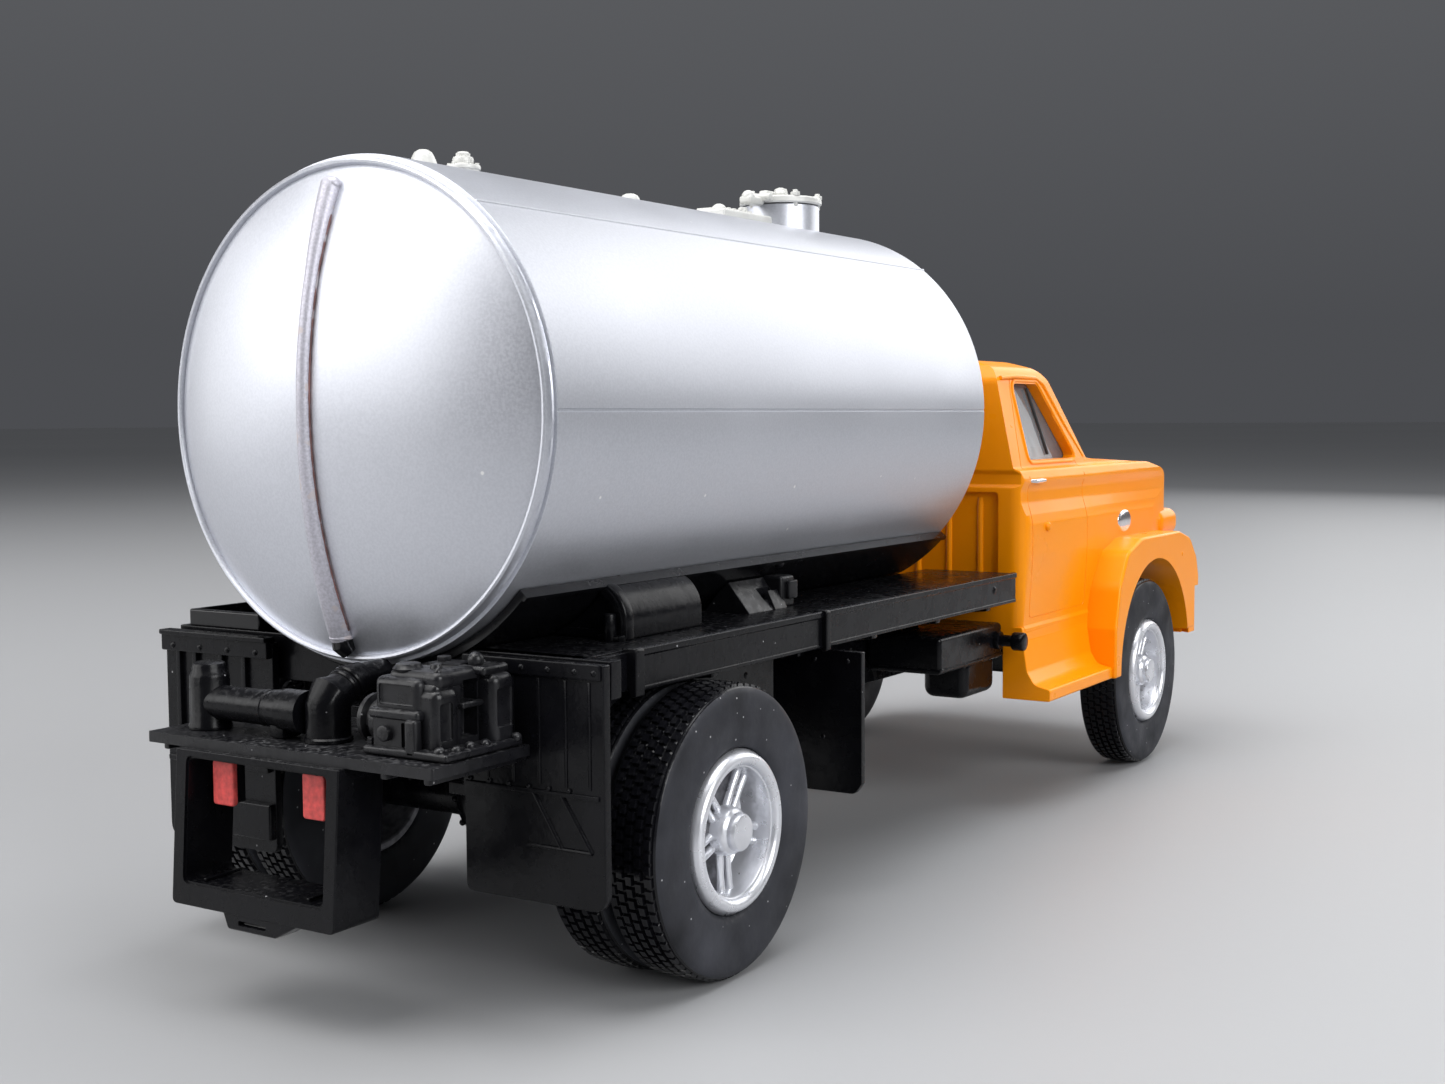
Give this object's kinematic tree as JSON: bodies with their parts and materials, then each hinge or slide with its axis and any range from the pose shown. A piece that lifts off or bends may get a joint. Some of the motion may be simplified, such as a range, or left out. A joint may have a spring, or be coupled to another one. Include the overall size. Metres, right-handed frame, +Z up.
{
  "type": "toy tanker truck",
  "caption": "Small-scale collectible tanker truck: short cab, round tank on a flat deck, rear pump platform, and wheelsets that roll.",
  "frame": {"origin": "on the ground plane under the middle of the truck's overall length and width", "axes": "+X towards the cab's nose, +Y to the truck's left, +Z up"},
  "size_m": [0.1046, 0.0348, 0.0483],
  "materials": {
    "orange_paint": "gloss",
    "tank_silver": "satin",
    "fitting_white": "satin",
    "black_plastic": "satin",
    "black_gloss": "gloss",
    "tyre": "matte",
    "wheel_silver": "satin",
    "bright_trim": "bright",
    "steel": "bright",
    "tail_red": "satin",
    "lamp": "gloss",
    "clear": "clear",
    "interior": "matte"
  },
  "bodies": {
    "truck": {"chassis_frame": "black_plastic", "chassis_screw_front": "steel", "chassis_screw_rear": "steel", "rear_axle_housing": "black_plastic", "front_axle_beam": "black_plastic", "deck": "black_plastic", "tank_saddle": "black_gloss", "deck_locker": "black_plastic", "wedge_bracket": "black_plastic", "hose_coupling": "black_plastic", "hose_tray": "black_gloss", "tank_upper_shell": "tank_silver", "tank_lower_shell": "tank_silver", "rear_head": "tank_silver", "front_head": "tank_silver", "sight_tube": "tank_silver", "dome_vent": "fitting_white", "relief_valve": "fitting_white", "small_vent": "fitting_white", "step_plate": "fitting_white", "manhole_collar": "fitting_white", "manhole_lid": "fitting_white", "pump_platform": "black_plastic", "pump_unit": "black_plastic", "filler_post": "black_plastic", "suction_elbow": "black_plastic", "tank_coupling": "black_gloss", "rear_guard": "black_plastic", "tail_light_left": "tail_red", "tail_light_right": "tail_red", "mudflap_left": "black_plastic", "mudflap_right": "black_plastic", "splash_guard_left": "black_plastic", "splash_guard_right": "black_plastic", "cab_shell": "orange_paint", "front_bumper": "orange_paint", "grille": "bright_trim", "headlight_left": "lamp", "headlight_right": "lamp", "glazing": "clear", "cab_interior": "interior", "steering_wheel": "interior", "door_handle_left": "bright_trim", "door_handle_right": "bright_trim", "fuel_tank_left": "black_plastic", "fuel_tank_right": "black_plastic"},
    "front_wheelset": {"front_axle": "steel", "front_hub_left": "wheel_silver", "front_hub_right": "wheel_silver", "front_tyre_left": "tyre", "front_tyre_right": "tyre"},
    "rear_wheelset": {"rear_axle": "steel", "rear_hub_left": "wheel_silver", "rear_hub_right": "wheel_silver", "rear_tyre_left_inner": "tyre", "rear_tyre_left_outer": "tyre", "rear_tyre_right_inner": "tyre", "rear_tyre_right_outer": "tyre"}
  },
  "joints": [
    {"name": "front_axle_spin", "type": "hinge", "parent": "truck", "child": "front_wheelset", "pos_m": [0.0374, 0, 0.00825], "axis": [0, 1, 0], "continuous": true},
    {"name": "rear_axle_spin", "type": "hinge", "parent": "truck", "child": "rear_wheelset", "pos_m": [-0.03317, 0, 0.00825], "axis": [0, 1, 0], "continuous": true}
  ]
}
